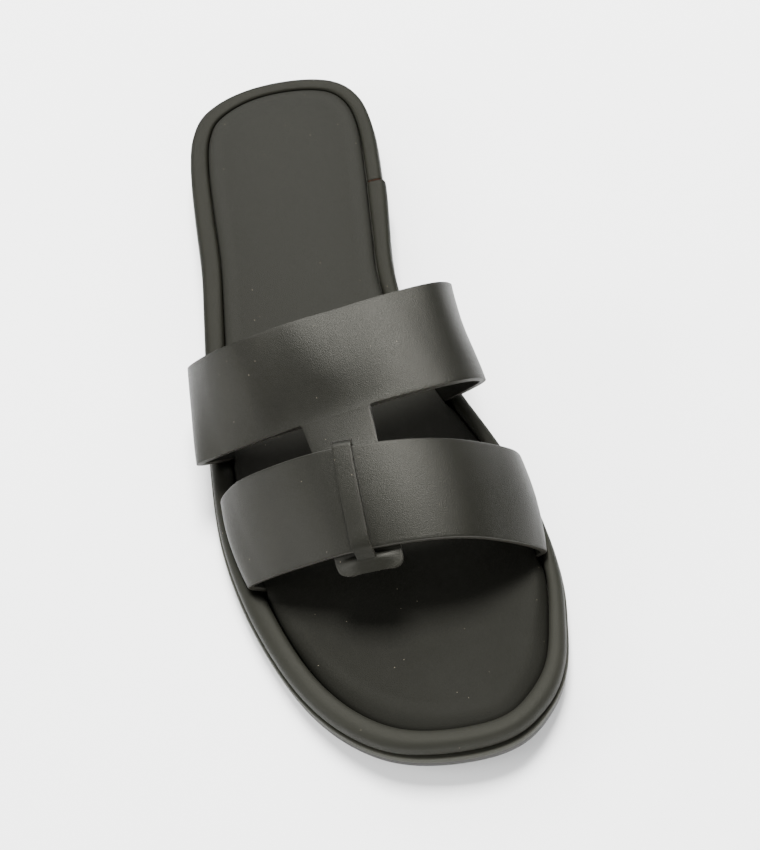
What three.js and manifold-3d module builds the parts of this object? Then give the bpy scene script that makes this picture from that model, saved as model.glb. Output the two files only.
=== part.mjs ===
// Flat two-strap slide sandal, right foot, built from its real pieces.
// Millimetres, +Z up, toe towards -Y, heel towards +Y, inner (medial) side of the foot towards +X.
import * as THREE from 'three';
import { mergeVertices } from 'three/addons/utils/BufferGeometryUtils.js';
import Module from 'manifold-3d';

const wasm = await Module();
wasm.setup();

// Footbed, seen from above
const footbedLength = 247.4;
const ballWidth = 80.4;
const heelWidth = 56;
// Heights, all measured at the forefoot, where the sole is flat on the floor
const outsoleThickness = 2.8;
const midsoleThickness = 3;
const heelHeight = 5;
const toeSpring = 3.4;
const seatGap = 0.3;
// Rim and footbed pad
const rimWidth = 5.5;
const rimHeight = 5.4;
const rimCrevice = 0.6;
const rimSeamGap = 0.5;
const rimSeamAlong = 0.792;
const bandLip = 0.7;
const outsoleInset = 0.4;
const padEdgeHeight = 4.6;
const padCrown = 1.5;
const padShoulder = 3.2;
const padFootRound = 0.5;
const crownShorter = 0.88;
const soleEdgeBevel = 0.5;
const bandEdgeRound = 0.6;
const heelTaper = 1.2;
// Upper
const strapWall = 1.9;
const strapClearance = 0.3;
const lastingMargin = 9;
const rootHeight = 2.7;
const strapBelly = 0.6;
const turnInHeight = 17;
const toeRiseFront = 28;
const toeRiseBack = 33.9;
const instepRiseFront = 33.6;
const instepRiseBack = 35.8;
// Keeper of the two straps: a wide tab, a narrow strip over the toe strap and a rounded head
const tabWidth = 20;
const tabReach = 16;
const tabFillet = 0.9;
const tabBite = 5;
const tabEndCorner = 2;
const tabLandsAt = 0.9;
const stripWidth = 6.1;
const headWidth = 18.2;
const headReach = 5.8;
const headTuck = 4;
const headCorner = 3.2;
const keeperWall = 1.6;
const keeperBite = 0.15;
const stripLeaves = 7.5;
const stripOverlap = 3;
const stripRise = 0.6;
const tuckReach = 1.4;
const tuckRound = 0.4;
const rootSpare = 0.05;

// Outline of the footbed: half widths as shares of the width that the row follows, and
// how much of the full border of rim and band lies outside it there; the toe's tip lies a little medially
const footbedRows = [
  { along: 0.02, lateral: 0.228, medial: 0.196, lateralBorder: 1.1, medialBorder: 1.02 },
  { along: 0.05, lateral: 0.347, medial: 0.281, lateralBorder: 1.09, medialBorder: 0.92 },
  { along: 0.1, lateral: 0.452, medial: 0.346, lateralBorder: 1.09, medialBorder: 0.84 },
  { along: 0.16, lateral: 0.521, medial: 0.398, lateralBorder: 1.1, medialBorder: 0.75 },
  { along: 0.246, lateral: 0.572, medial: 0.405, lateralBorder: 1.15, medialBorder: 0.76 },
  { along: 0.335, lateral: 0.586, medial: 0.364, lateralBorder: 1.16, medialBorder: 0.8 },
  { along: 0.425, lateral: 0.555, medial: 0.291, lateralBorder: 1.19, medialBorder: 0.88 },
  { along: 0.524, lateral: 0.53, medial: 0.225, lateralBorder: 1.14, medialBorder: 0.9 },
  { along: 0.623, lateral: 0.516, medial: 0.229, lateralBorder: 1.11, medialBorder: 0.88 },
  { along: 0.722, lateral: 0.505, medial: 0.325, lateralBorder: 1.09, medialBorder: 0.85 },
  { along: 0.821, lateral: 0.494, medial: 0.433, lateralBorder: 1.07, medialBorder: 0.84 },
  { along: 0.901, lateral: 0.447, medial: 0.486, lateralBorder: 1.05, medialBorder: 0.84 },
  { along: 0.95, lateral: 0.39, medial: 0.463, lateralBorder: 1.02, medialBorder: 0.85 },
  { along: 0.98, lateral: 0.297, medial: 0.357, lateralBorder: 1, medialBorder: 0.84 },
];
const toeTip = 3;
const toeBorder = 1.12;
const heelBorder = 0.84;
// The width changes over from ball to heel between these two stations
const ballEnds = 0.405;
const heelStarts = 0.851;
// Underside of the sole: toe spring, flat forefoot, arch, heel
const springEnds = 0.137;
const archStarts = 0.35;
const heelBreast = 0.702;
// The footbed's rounded shoulder: this many times broader at the toe, narrowing between two stations
const toeShoulder = 2.4;
const shoulderFrom = 0.05;
const shoulderTo = 0.45;

// Straps. Roots are stations along the footbed; lean is how far an edge runs forward for each mm of height.
// Across is a share of the span between an edge's two roots, up a share of that edge's rise.
// The toe strap's back edge also comes down further forward on the lateral side, over its lowest part.
const toeStrap = {
  turnIn: 3.4,
  front: { lateralRoot: 0.247, medialRoot: 0.185, lean: 0.22, rise: toeRiseFront },
  back: { lateralRoot: 0.382, medialRoot: 0.318, lean: 0.245, rise: toeRiseBack },
  arch: [
    { frontAcross: -0.055, frontUp: 0.17, backAcross: -0.07, backUp: 0.14 },
    { frontAcross: 0.025, frontUp: 0.4, backAcross: -0.018, backUp: 0.36 },
    { frontAcross: 0.161, frontUp: 0.64, backAcross: 0.115, backUp: 0.64 },
    { frontAcross: 0.337, frontUp: 0.887, backAcross: 0.335, backUp: 0.92 },
    { frontAcross: 0.575, frontUp: 1, backAcross: 0.6, backUp: 1 },
    { frontAcross: 0.753, frontUp: 0.905, backAcross: 0.804, backUp: 0.897 },
    { frontAcross: 0.88, frontUp: 0.66, backAcross: 0.966, backUp: 0.659 },
    { frontAcross: 0.99, frontUp: 0.33, backAcross: 1.075, backUp: 0.39 },
    { frontAcross: 1.027, frontUp: 0.13, backAcross: 1.09, backUp: 0.15 },
  ],
};
const instepStrap = {
  turnIn: 0,
  front: { lateralRoot: 0.437, medialRoot: 0.43, lean: 0.5, rise: instepRiseFront },
  back: { lateralRoot: 0.574, medialRoot: 0.574, lean: 0.55, rise: instepRiseBack },
  arch: [
    { frontAcross: -0.17, frontUp: 0.28, backAcross: -0.23, backUp: 0.27 },
    { frontAcross: -0.035, frontUp: 0.5, backAcross: -0.155, backUp: 0.59 },
    { frontAcross: 0.156, frontUp: 0.686, backAcross: 0.04, backUp: 0.85 },
    { frontAcross: 0.4, frontUp: 0.865, backAcross: 0.33, backUp: 0.955 },
    { frontAcross: 0.722, frontUp: 1, backAcross: 0.65, backUp: 1 },
    { frontAcross: 1, frontUp: 0.96, backAcross: 1.04, backUp: 0.98 },
    { frontAcross: 1.12, frontUp: 0.82, backAcross: 1.27, backUp: 0.87 },
    { frontAcross: 1.165, frontUp: 0.62, backAcross: 1.36, backUp: 0.55 },
    { frontAcross: 1.09, frontUp: 0.3, backAcross: 1.24, backUp: 0.25 },
  ],
};
// Where the keeper crosses, as shares across the edges that it meets
const tabAcross = 0.479;
const stripBackAcross = 0.435;
const stripFrontAcross = 0.399;

// How finely the curved pieces are cut
const outlineSteps = 96;
const archSteps = 34;
const strapSteps = 4;

const mix = THREE.MathUtils.lerp;
const smooth = THREE.MathUtils.smoothstep;

// Smooth closed curve through knots { turn, x } of one full turn
function roundSpline(knots, turn) {
  const full = 2 * Math.PI;
  const at = ((turn % full) + full) % full;
  const count = knots.length;
  let i = count - 1;
  while (i > 0 && knots[i].turn > at) i -= 1;
  const knot = (k) => ({
    turn: knots[(k + count) % count].turn + full * Math.floor(k / count),
    x: knots[(k + count) % count].x,
  });
  const slope = (k) => (knot(k + 1).x - knot(k - 1).x) / (knot(k + 1).turn - knot(k - 1).turn);
  const from = knot(i);
  const to = knot(i + 1);
  const step = to.turn - from.turn;
  const t = (at - from.turn) / step;
  const rest = 1 - t;
  return (
    from.x * (1 + 2 * t) * rest * rest +
    slope(i) * step * t * rest * rest +
    to.x * t * t * (3 - 2 * t) -
    slope(i + 1) * step * t * t * rest
  );
}

// One turn of the outline runs toe, lateral side, heel, medial side
const turnAt = (along) => Math.acos(1 - 2 * along);
const widthAt = (along) => mix(ballWidth, heelWidth, smooth(along, ballEnds, heelStarts));
const knotsOf = (toe, heel, lateral, medial) => [
  { turn: 0, x: toe },
  ...footbedRows.map((row) => ({ turn: turnAt(row.along), x: lateral(row) })),
  { turn: Math.PI, x: heel },
  ...footbedRows.map((row) => ({ turn: 2 * Math.PI - turnAt(row.along), x: medial(row) })).reverse(),
];
const footbedKnots = knotsOf(
  toeTip,
  0,
  (row) => -row.lateral * widthAt(row.along),
  (row) => row.medial * widthAt(row.along),
);
const borderKnots = knotsOf(
  toeBorder,
  heelBorder,
  (row) => row.lateralBorder,
  (row) => row.medialBorder,
);
const footbedPoint = (turn) =>
  new THREE.Vector2(roundSpline(footbedKnots, turn), (-Math.cos(turn) * footbedLength) / 2);

// Point of the footbed's outline, moved outward by the given part of the border
function edgePoint(turn, outward = 0) {
  const step = 0.004;
  const run = footbedPoint(turn + step).sub(footbedPoint(turn - step)).normalize();
  const border = outward > 0 ? outward * roundSpline(borderKnots, turn) : outward;
  return footbedPoint(turn).add(new THREE.Vector2(-run.y, run.x).multiplyScalar(border));
}

// Height of the sole's underside over the floor
const yAt = (along) => (along - 0.5) * footbedLength;
function soleRise(y) {
  const along = y / footbedLength + 0.5;
  const spring = Math.max(0, (springEnds - along) / springEnds);
  return toeSpring * spring * spring + heelHeight * smooth(along, archStarts, heelBreast);
}
const midsoleBase = outsoleThickness + seatGap;
const deckHeight = midsoleBase + midsoleThickness;
const deckAt = (y) => soleRise(y) + deckHeight;

// Closed solid from rings of equal length; its two ends are closed by strips from side to side.
// A full ring starts at the toe (open = 0), a ring with a straight front starts at its corner (open = 1).
function stackedSolid(rings, open = 0) {
  const size = rings[0].length;
  const places = rings.flat().flatMap((p) => [p.x, p.y, p.z]);
  const faces = [];
  for (let r = 0; r + 1 < rings.length; r += 1) {
    for (let i = 0; i < size; i += 1) {
      const a = r * size + i;
      const b = r * size + ((i + 1) % size);
      faces.push(a, b + size, b, a, a + size, b + size);
    }
  }
  const last = (rings.length - 1) * size;
  const opposite = (i) => (size - open - i) % size;
  const close = (a, b, c) => {
    if (a !== b && b !== c && a !== c) faces.push(a, b, c, last + a, last + c, last + b);
  };
  for (let i = 0; i < (size - open) / 2; i += 1) {
    close(i, i + 1, opposite(i + 1));
    close(i, opposite(i + 1), opposite(i));
  }
  return solidFrom(places, faces);
}

// Closed slab of even wall around a grid of points on its middle surface
function slab(grid, wall) {
  const rows = grid.length;
  const columns = grid[0].length;
  const places = [];
  const pick = (r, c) =>
    grid[THREE.MathUtils.clamp(r, 0, rows - 1)][THREE.MathUtils.clamp(c, 0, columns - 1)];
  for (const side of [1, -1]) {
    for (let r = 0; r < rows; r += 1) {
      for (let c = 0; c < columns; c += 1) {
        const down = pick(r + 1, c).clone().sub(pick(r - 1, c));
        const along = pick(r, c + 1).clone().sub(pick(r, c - 1));
        const normal = along.cross(down).normalize();
        const place = grid[r][c].clone().addScaledVector(normal, (side * wall) / 2);
        places.push(place.x, place.y, place.z);
      }
    }
  }
  const faces = [];
  const layer = rows * columns;
  const quad = (a, b, c, d) => faces.push(a, b, c, a, c, d);
  for (let r = 0; r + 1 < rows; r += 1) {
    for (let c = 0; c + 1 < columns; c += 1) {
      const a = r * columns + c;
      quad(a, a + 1, a + columns + 1, a + columns);
      quad(layer + a, layer + a + columns, layer + a + columns + 1, layer + a + 1);
    }
  }
  for (let r = 0; r + 1 < rows; r += 1) {
    const a = r * columns;
    const b = a + columns - 1;
    quad(a, a + columns, layer + a + columns, layer + a);
    quad(b, layer + b, layer + b + columns, b + columns);
  }
  for (let c = 0; c + 1 < columns; c += 1) {
    const b = (rows - 1) * columns + c;
    quad(c, layer + c, layer + c + 1, c + 1);
    quad(b, b + 1, layer + b + 1, layer + b);
  }
  return solidFrom(places, faces);
}

function solidFrom(places, faces) {
  let geometry = new THREE.BufferGeometry();
  geometry.setAttribute('position', new THREE.Float32BufferAttribute(places, 3));
  geometry.setIndex(faces);
  geometry = mergeVertices(geometry, 1e-4);
  return new wasm.Manifold(
    new wasm.Mesh({
      numProp: 3,
      vertProperties: new Float32Array(geometry.attributes.position.array),
      triVerts: new Uint32Array(geometry.index.array),
    }),
  );
}

function meshOf(name, solid, material) {
  const { vertProperties, triVerts } = solid.getMesh();
  const geometry = new THREE.BufferGeometry();
  geometry.setAttribute('position', new THREE.Float32BufferAttribute(vertProperties, 3));
  geometry.setIndex([...triVerts]);
  geometry.computeVertexNormals();
  const mesh = new THREE.Mesh(geometry, material);
  mesh.name = name;
  return mesh;
}

// Ring of the sole: outward from the footbed's outline, up from the sole's underside
function soleRing(outward, up) {
  const ring = [];
  for (let i = 0; i < outlineSteps; i += 1) {
    const p = edgePoint((2 * Math.PI * i) / outlineSteps, outward);
    ring.push(new THREE.Vector3(p.x, p.y, soleRise(p.y) + up));
  }
  return ring;
}

const rimOuter = rimCrevice + rimWidth;
const bandOuter = rimOuter + bandLip;
const outsoleOuter = bandOuter - outsoleInset;

function makeOutsole() {
  return stackedSolid([
    soleRing(outsoleOuter - soleEdgeBevel, 0),
    soleRing(outsoleOuter, soleEdgeBevel),
    soleRing(outsoleOuter, outsoleThickness),
  ]);
}

function makeMidsole() {
  const round = bandEdgeRound;
  return stackedSolid([
    soleRing(bandOuter - round, midsoleBase),
    soleRing(bandOuter, midsoleBase + round),
    soleRing(bandOuter, midsoleBase + midsoleThickness - round),
    soleRing(bandOuter - round, midsoleBase + midsoleThickness),
  ]);
}

// Low heel under the outsole, with a straight breast and sides that taper towards the floor
function makeHeel() {
  const ring = (inset, up) => {
    const points = [];
    const steps = 40;
    const start = turnAt(heelBreast);
    for (let i = 0; i <= steps; i += 1) {
      const p = edgePoint(mix(start, 2 * Math.PI - start, i / steps), outsoleOuter - inset);
      points.push(new THREE.Vector3(p.x, Math.max(p.y, yAt(heelBreast)), up));
    }
    return points;
  };
  const rings = [
    ring(heelTaper + soleEdgeBevel, 0),
    ring(heelTaper, soleEdgeBevel),
    ring(soleEdgeBevel, heelHeight - seatGap),
  ];
  return stackedSolid(rings, 1);
}

// Padded rim: a rolled band that starts and ends at a butt seam on the inner side of the heel
function makeRim() {
  // Shares of the rim's width and height
  const section = [
    { out: 0.05, up: 0 },
    { out: 0, up: 0.2 },
    { out: 0, up: 0.72 },
    { out: 0.07, up: 0.92 },
    { out: 0.3, up: 1 },
    { out: 0.65, up: 0.98 },
    { out: 0.9, up: 0.84 },
    { out: 1, up: 0.55 },
    { out: 1, up: 0.14 },
    { out: 0.96, up: 0 },
  ];
  const seam = 2 * Math.PI - turnAt(rimSeamAlong);
  const seamTurn = rimSeamGap / 2 / (footbedLength / 2) / Math.sin(turnAt(rimSeamAlong));
  const rings = [];
  for (let i = 0; i <= outlineSteps; i += 1) {
    const turn = mix(seam + seamTurn, seam + 2 * Math.PI - seamTurn, i / outlineSteps);
    rings.push(
      section.map(({ out, up }) => {
        const p = edgePoint(turn, rimCrevice + out * rimWidth);
        return new THREE.Vector3(p.x, p.y, deckAt(p.y) + seatGap + up * rimHeight);
      }),
    );
  }
  return stackedSolid(rings, 1);
}

// Crowned footbed pad: a rounded shoulder, then nested rings up to the crown
function makePad() {
  // Shares of the shoulder's width and of the edge's height
  const shoulder = [
    { inset: 0, up: 0.55 },
    { inset: 0.16, up: 0.8 },
    { inset: 0.5, up: 0.95 },
    { inset: 1, up: 1 },
  ];
  const crown = [
    { share: 0.8, up: 0.45 },
    { share: 0.55, up: 0.85 },
    { share: 0.25, up: 1 },
  ];
  const base = deckHeight + seatGap;
  const rings = [soleRing(-padFootRound, base), soleRing(0, base + 0.2 * padEdgeHeight)];
  for (const { inset, up } of shoulder) {
    const ring = [];
    for (let i = 0; i < outlineSteps; i += 1) {
      const turn = (2 * Math.PI * i) / outlineSteps;
      const along = (1 - Math.cos(turn)) / 2;
      const broad = mix(toeShoulder, 1, smooth(along, shoulderFrom, shoulderTo));
      const p = edgePoint(turn, -inset * padShoulder * broad);
      ring.push(new THREE.Vector3(p.x, p.y, soleRise(p.y) + base + up * padEdgeHeight));
    }
    rings.push(ring);
  }
  const inner = rings[rings.length - 1];
  for (const { share, up } of crown) {
    rings.push(
      inner.map((p, i) => {
        const middle = (p.x + inner[(outlineSteps - i) % outlineSteps].x) / 2;
        const y = p.y * mix(crownShorter, 1, share);
        const z = soleRise(y) + base + padEdgeHeight + up * padCrown;
        return new THREE.Vector3(mix(middle, p.x, share), y, z);
      }),
    );
  }
  return stackedSolid(rings);
}

// How far in from the footbed's edge a strap's middle surface stands where it comes up
const rootInset = strapWall / 2 + strapClearance - (rimCrevice - strapClearance) + rootSpare;
const turnOn = (side, along) => (side === 'lateral' ? turnAt(along) : 2 * Math.PI - turnAt(along));

function rootPoint(side, along, inward, up) {
  const p = edgePoint(turnOn(side, along), -inward);
  return new THREE.Vector3(p.x, p.y, deckAt(p.y) + up);
}

// Middle line of a strap at share v of its width, 0 at the front edge and 1 at the back edge;
// it runs from under the footbed on one side to under it on the other
function strapLine(strap, v, spare = 0) {
  const lateral = mix(strap.front.lateralRoot, strap.back.lateralRoot, v);
  const medial = mix(strap.front.medialRoot, strap.back.medialRoot, v);
  const from = rootPoint('lateral', lateral, rootInset, rootHeight);
  const to = rootPoint('medial', medial, rootInset, rootHeight);
  const edgeArch = (edge, across, up) => {
    const lower = mix(from.z, to.z, THREE.MathUtils.clamp(across, 0, 1));
    return new THREE.Vector3(
      mix(from.x, to.x, across),
      mix(from.y, to.y, across) - edge.lean * up * edge.rise,
      lower + up * edge.rise,
    );
  };
  const arch = strap.arch.map((row) => {
    const front = edgeArch(strap.front, row.frontAcross, row.frontUp);
    const back = edgeArch(strap.back, row.backAcross, row.backUp);
    return front.lerp(back, v);
  });
  const curve = new THREE.CatmullRomCurve3([from, ...arch, to], false, 'centripetal');
  const tuck = (side, along) => {
    const low = seatGap + strapWall / 2;
    return [
      rootPoint(side, along, rootInset + lastingMargin + spare, low),
      rootPoint(side, along, rootInset + tuckReach, low),
      rootPoint(side, along, rootInset + tuckRound, low + tuckRound),
    ];
  };
  const line = [
    ...tuck('lateral', lateral),
    ...curve.getSpacedPoints(archSteps),
    ...tuck('medial', medial).reverse(),
  ];
  for (const p of line) {
    const low = 1 - smooth(p.z - from.z, 0, turnInHeight);
    if (p.x < (from.x + to.x) / 2) p.y -= strap.turnIn * v * low;
  }
  return line;
}

// Width of a strap at its lateral root, and the span of its front edge between its two roots
const widthOf = (strap) => (strap.back.lateralRoot - strap.front.lateralRoot) * footbedLength;
function spanOf(strap) {
  const line = strapLine(strap, 0);
  return line[line.length - 4].x - line[3].x;
}

// A strap's middle surface as a grid; spare widens it on all sides for the pocket that it lies in
function strapGrid(strap, spare = 0) {
  const grid = [];
  const width = widthOf(strap);
  for (let j = 0; j <= strapSteps; j += 1) {
    const v = mix(-spare / width, 1 + spare / width, j / strapSteps);
    grid.push(strapLine(strap, v, spare));
  }
  return bellied(grid);
}

// Lifts the middle of a strap's width a little, where it stands free of the sole
function bellied(grid) {
  const last = grid.length - 1;
  return grid.map((line, j) =>
    line.map((point, i) => {
      const free = Math.sin((Math.PI * i) / (line.length - 1));
      const lift = strapBelly * 4 * (j / last) * (1 - j / last) * free;
      return point.clone().add(new THREE.Vector3(0, 0, lift));
    }),
  );
}

// Point on a strap's arch at a share across its span, at share v of its width
function onStrap(strap, across, v) {
  const line = strapLine(strap, v);
  const x = mix(line[3].x, line[line.length - 4].x, across);
  let best = line[0];
  let after = line[1];
  for (let i = 3; i + 4 < line.length; i += 1) {
    const high = line[i].z > line[3].z + strap.front.rise / 3;
    if (high && line[i].x <= x && line[i + 1].x > x) {
      best = line[i];
      after = line[i + 1];
    }
  }
  return best.clone().lerp(after, (x - best.x) / (after.x - best.x));
}

// Frame on a strap: a point, the direction across the foot and the outward normal
function strapFrame(strap, across, v) {
  const point = onStrap(strap, across, v);
  const side = onStrap(strap, across + 0.06, v).sub(onStrap(strap, across - 0.06, v)).normalize();
  const run = onStrap(strap, across, v + 0.05).sub(onStrap(strap, across, v - 0.05)).normalize();
  const normal = new THREE.Vector3().crossVectors(side, run).normalize();
  return { point, side, normal };
}

// Point of the tab, off to a side of its middle line and forward of the instep strap's front edge;
// the tab runs straight from there to the underside of the toe strap
function tabPoint(off, forward) {
  const across = tabAcross + off / spanOf(instepStrap);
  const base = onStrap(instepStrap, across, Math.max(-forward, 0) / widthOf(instepStrap));
  if (forward <= 0) return base;
  const landing = mix(stripFrontAcross, stripBackAcross, tabLandsAt) + off / spanOf(toeStrap);
  const { point, normal } = strapFrame(toeStrap, landing, tabLandsAt);
  const under = point.addScaledVector(normal, keeperBite - (strapWall + keeperWall) / 2);
  return base.addScaledVector(under.sub(base).normalize(), forward);
}

// Wide tab: it carries on forward from the instep strap and slips under the toe strap
function makeTab() {
  const rows = [
    { forward: tabReach, spread: -tabEndCorner },
    { forward: tabReach - tabEndCorner * 0.75, spread: -tabEndCorner * 0.2 },
    { forward: tabReach * 0.75, spread: 0 },
    { forward: tabReach * 0.45, spread: 0 },
    { forward: tabFillet, spread: 0 },
    { forward: tabFillet * 0.35, spread: tabFillet * 0.3 },
    { forward: 0, spread: tabFillet },
    { forward: -tabBite, spread: tabFillet },
  ];
  const columns = 8;
  const grid = rows.map(({ forward, spread }) =>
    Array.from({ length: columns + 1 }, (_, i) =>
      tabPoint(mix(-1, 1, i / columns) * (tabWidth / 2 + spread), forward),
    ),
  );
  return slab(grid, keeperWall);
}

// Narrow strip: it rises from the tab behind the toe strap, runs over it and drops in front of it
function makeStrip() {
  const over = (strapWall + keeperWall) / 2 - keeperBite;
  const rows = [
    { v: -0.1, lift: -over },
    { v: -0.04, lift: 0.3 },
    { v: 0.04, lift: over },
    { v: 0.25, lift: over },
    { v: 0.5, lift: over },
    { v: 0.75, lift: over },
    { v: 0.96, lift: over },
    { v: 1.04, lift: stripRise },
  ];
  const columns = 3;
  const offs = Array.from({ length: columns + 1 }, (_, i) => mix(-0.5, 0.5, i / columns) * stripWidth);
  const grid = rows.map(({ v, lift }) => {
    const across = mix(stripFrontAcross, stripBackAcross, v);
    const { point, side, normal } = strapFrame(toeStrap, across, v);
    return offs.map((off) => point.clone().addScaledVector(side, off).addScaledVector(normal, lift));
  });
  for (const forward of [stripLeaves, stripLeaves - stripOverlap]) {
    grid.push(offs.map((off) => tabPoint(off, forward)));
  }
  return slab(grid, keeperWall);
}

// Rounded head: it comes out from under the toe strap's front edge
function makeHead() {
  const under = -(strapWall + keeperWall) / 2 + keeperBite;
  const rows = [
    { forward: headReach, trim: headCorner },
    { forward: headReach - headCorner * 0.13, trim: headCorner * 0.5 },
    { forward: headReach - headCorner * 0.5, trim: headCorner * 0.13 },
    { forward: headReach - headCorner, trim: 0 },
    { forward: 0, trim: 0 },
    { forward: -headTuck, trim: 0 },
  ];
  const columns = 6;
  const grid = rows.map(({ forward, trim }) => {
    const line = [];
    for (let i = 0; i <= columns; i += 1) {
      const off = mix(-1, 1, i / columns) * (headWidth / 2 - trim);
      const across = stripFrontAcross + off / spanOf(toeStrap);
      const { point, normal } = strapFrame(toeStrap, across, -forward / widthOf(toeStrap));
      line.push(point.addScaledVector(normal, under));
    }
    return line;
  });
  return slab(grid, keeperWall);
}

const straps = [toeStrap, instepStrap];
const strapSolids = straps.map((strap) => slab(strapGrid(strap), strapWall));
const upper = strapSolids[0].add(strapSolids[1]).add(makeTab()).add(makeStrip()).add(makeHead());
// Pockets in rim and footbed where the straps go down between them
const pockets = straps
  .map((strap) => slab(strapGrid(strap, strapClearance), strapWall + 2 * strapClearance))
  .reduce((joined, pocket) => joined.add(pocket));

const rubber = new THREE.MeshStandardMaterial({ color: 0x34332f, roughness: 0.75, metalness: 0 });
const upperHide = new THREE.MeshStandardMaterial({ color: 0x45443e, roughness: 0.5, metalness: 0 });
const footbedHide = new THREE.MeshStandardMaterial({ color: 0x3d3c37, roughness: 0.6, metalness: 0 });
const rimHide = new THREE.MeshStandardMaterial({ color: 0x42413b, roughness: 0.55, metalness: 0 });
const bandHide = new THREE.MeshStandardMaterial({ color: 0x3f3e39, roughness: 0.55, metalness: 0 });

const sandal = new THREE.Group();
sandal.add(
  meshOf('outsole', makeOutsole(), rubber),
  meshOf('heel', makeHeel(), rubber),
  meshOf('midsole', makeMidsole(), bandHide),
  meshOf('rim', makeRim().subtract(pockets), rimHide),
  meshOf('insole', makePad().subtract(pockets), footbedHide),
  meshOf('upper', upper, upperHide),
);

// Origin on the floor, under the middle of the whole shoe
const box = new THREE.Box3().setFromObject(sandal);
const centre = box.getCenter(new THREE.Vector3());
sandal.position.set(-centre.x, -centre.y, -box.min.z);

export default sandal;
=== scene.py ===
from functools import lru_cache
from math import acos, atan2, cos, exp, pi, radians, sin

import bmesh
import bpy
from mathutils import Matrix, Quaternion, Vector
from mathutils.bvhtree import BVHTree


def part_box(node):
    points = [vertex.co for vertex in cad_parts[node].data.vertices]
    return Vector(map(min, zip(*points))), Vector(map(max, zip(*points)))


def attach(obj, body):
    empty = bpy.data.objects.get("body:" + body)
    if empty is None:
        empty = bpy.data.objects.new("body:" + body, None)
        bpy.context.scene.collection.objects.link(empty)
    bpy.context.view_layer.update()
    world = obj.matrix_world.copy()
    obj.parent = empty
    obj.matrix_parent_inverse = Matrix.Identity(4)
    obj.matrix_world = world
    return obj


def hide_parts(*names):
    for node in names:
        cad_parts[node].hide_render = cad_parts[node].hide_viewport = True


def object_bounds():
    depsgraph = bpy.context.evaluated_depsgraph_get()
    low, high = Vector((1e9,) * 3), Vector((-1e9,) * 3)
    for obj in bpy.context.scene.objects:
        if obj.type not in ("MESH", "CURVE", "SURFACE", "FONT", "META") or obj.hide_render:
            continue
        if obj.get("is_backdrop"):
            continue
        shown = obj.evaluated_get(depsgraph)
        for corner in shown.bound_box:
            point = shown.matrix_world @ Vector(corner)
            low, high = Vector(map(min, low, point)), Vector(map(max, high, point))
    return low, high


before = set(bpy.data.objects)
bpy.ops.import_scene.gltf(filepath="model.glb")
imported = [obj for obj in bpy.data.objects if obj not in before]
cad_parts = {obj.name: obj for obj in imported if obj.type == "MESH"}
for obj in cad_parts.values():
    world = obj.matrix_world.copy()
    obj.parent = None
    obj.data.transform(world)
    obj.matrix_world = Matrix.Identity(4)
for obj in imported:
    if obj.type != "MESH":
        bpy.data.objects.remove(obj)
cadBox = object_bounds()

# Flat two-strap slide sandal, right foot: toe towards -Y, inner side of the foot towards +X.
# Lengths in the dictionaries are millimetres; onMetres turns a finished place into the frame's metres.

footbed = {
    "length": 247.4,
    "ballWidth": 80.4,
    "heelWidth": 56,
    "ballEnds": 0.405,
    "heelStarts": 0.851,
    "toeTip": 3,
    "toeBorder": 1.12,
    "heelBorder": 0.84,
    # along, outer and inner half width as a share of the width there, outer and inner border
    "rows": [
        (0.02, 0.228, 0.196, 1.1, 1.02),
        (0.05, 0.347, 0.281, 1.09, 0.92),
        (0.1, 0.452, 0.346, 1.09, 0.84),
        (0.16, 0.521, 0.398, 1.1, 0.75),
        (0.246, 0.572, 0.405, 1.15, 0.76),
        (0.335, 0.586, 0.364, 1.16, 0.8),
        (0.425, 0.555, 0.291, 1.19, 0.88),
        (0.524, 0.53, 0.225, 1.14, 0.9),
        (0.623, 0.516, 0.229, 1.11, 0.88),
        (0.722, 0.505, 0.325, 1.09, 0.85),
        (0.821, 0.494, 0.433, 1.07, 0.84),
        (0.901, 0.447, 0.486, 1.05, 0.84),
        (0.95, 0.39, 0.463, 1.02, 0.85),
        (0.98, 0.297, 0.357, 1, 0.84),
    ],
    "outlineSteps": 360,
    # half the step in turn over which the outline's direction is taken
    "turnStep": 0.004,
}
stack = {
    "outsoleThickness": 2.8,
    "midsoleThickness": 3,
    "heelHeight": 5,
    "toeSpring": 3.4,
    "seatGap": 0.3,
    "springEnds": 0.137,
    "archStarts": 0.35,
    "heelBreast": 0.702,
}


def mix(a, b, share):
    return a + (b - a) * share


def clamp(x, low=0.0, high=1.0):
    return max(low, min(high, x))


def smoothStep(x, low, high):
    t = clamp((x - low) / (high - low))
    return t * t * (3 - 2 * t)


# 1 between low and high, falling smoothly to 0 over soft on both sides
def bump(x, low, high, soft):
    return smoothStep(x, low - soft, low) * (1 - smoothStep(x, high, high + soft))


# Outline of the footbed
def turnAt(along):
    return acos(1 - 2 * along)


def alongAt(turn):
    return (1 - cos(turn)) / 2


def widthAt(along):
    narrow = smoothStep(along, footbed["ballEnds"], footbed["heelStarts"])
    return mix(footbed["ballWidth"], footbed["heelWidth"], narrow)


def closedKnots(toe, heel, outer, inner):
    rows = footbed["rows"]
    knots = [(0.0, toe)] + [(turnAt(r[0]), outer(r)) for r in rows] + [(pi, heel)]
    return knots + [(2 * pi - turnAt(r[0]), inner(r)) for r in reversed(rows)]


outlineKnots = closedKnots(
    footbed["toeTip"], 0, lambda r: -r[1] * widthAt(r[0]), lambda r: r[2] * widthAt(r[0]))
borderKnots = closedKnots(footbed["toeBorder"], footbed["heelBorder"], lambda r: r[3], lambda r: r[4])


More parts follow.
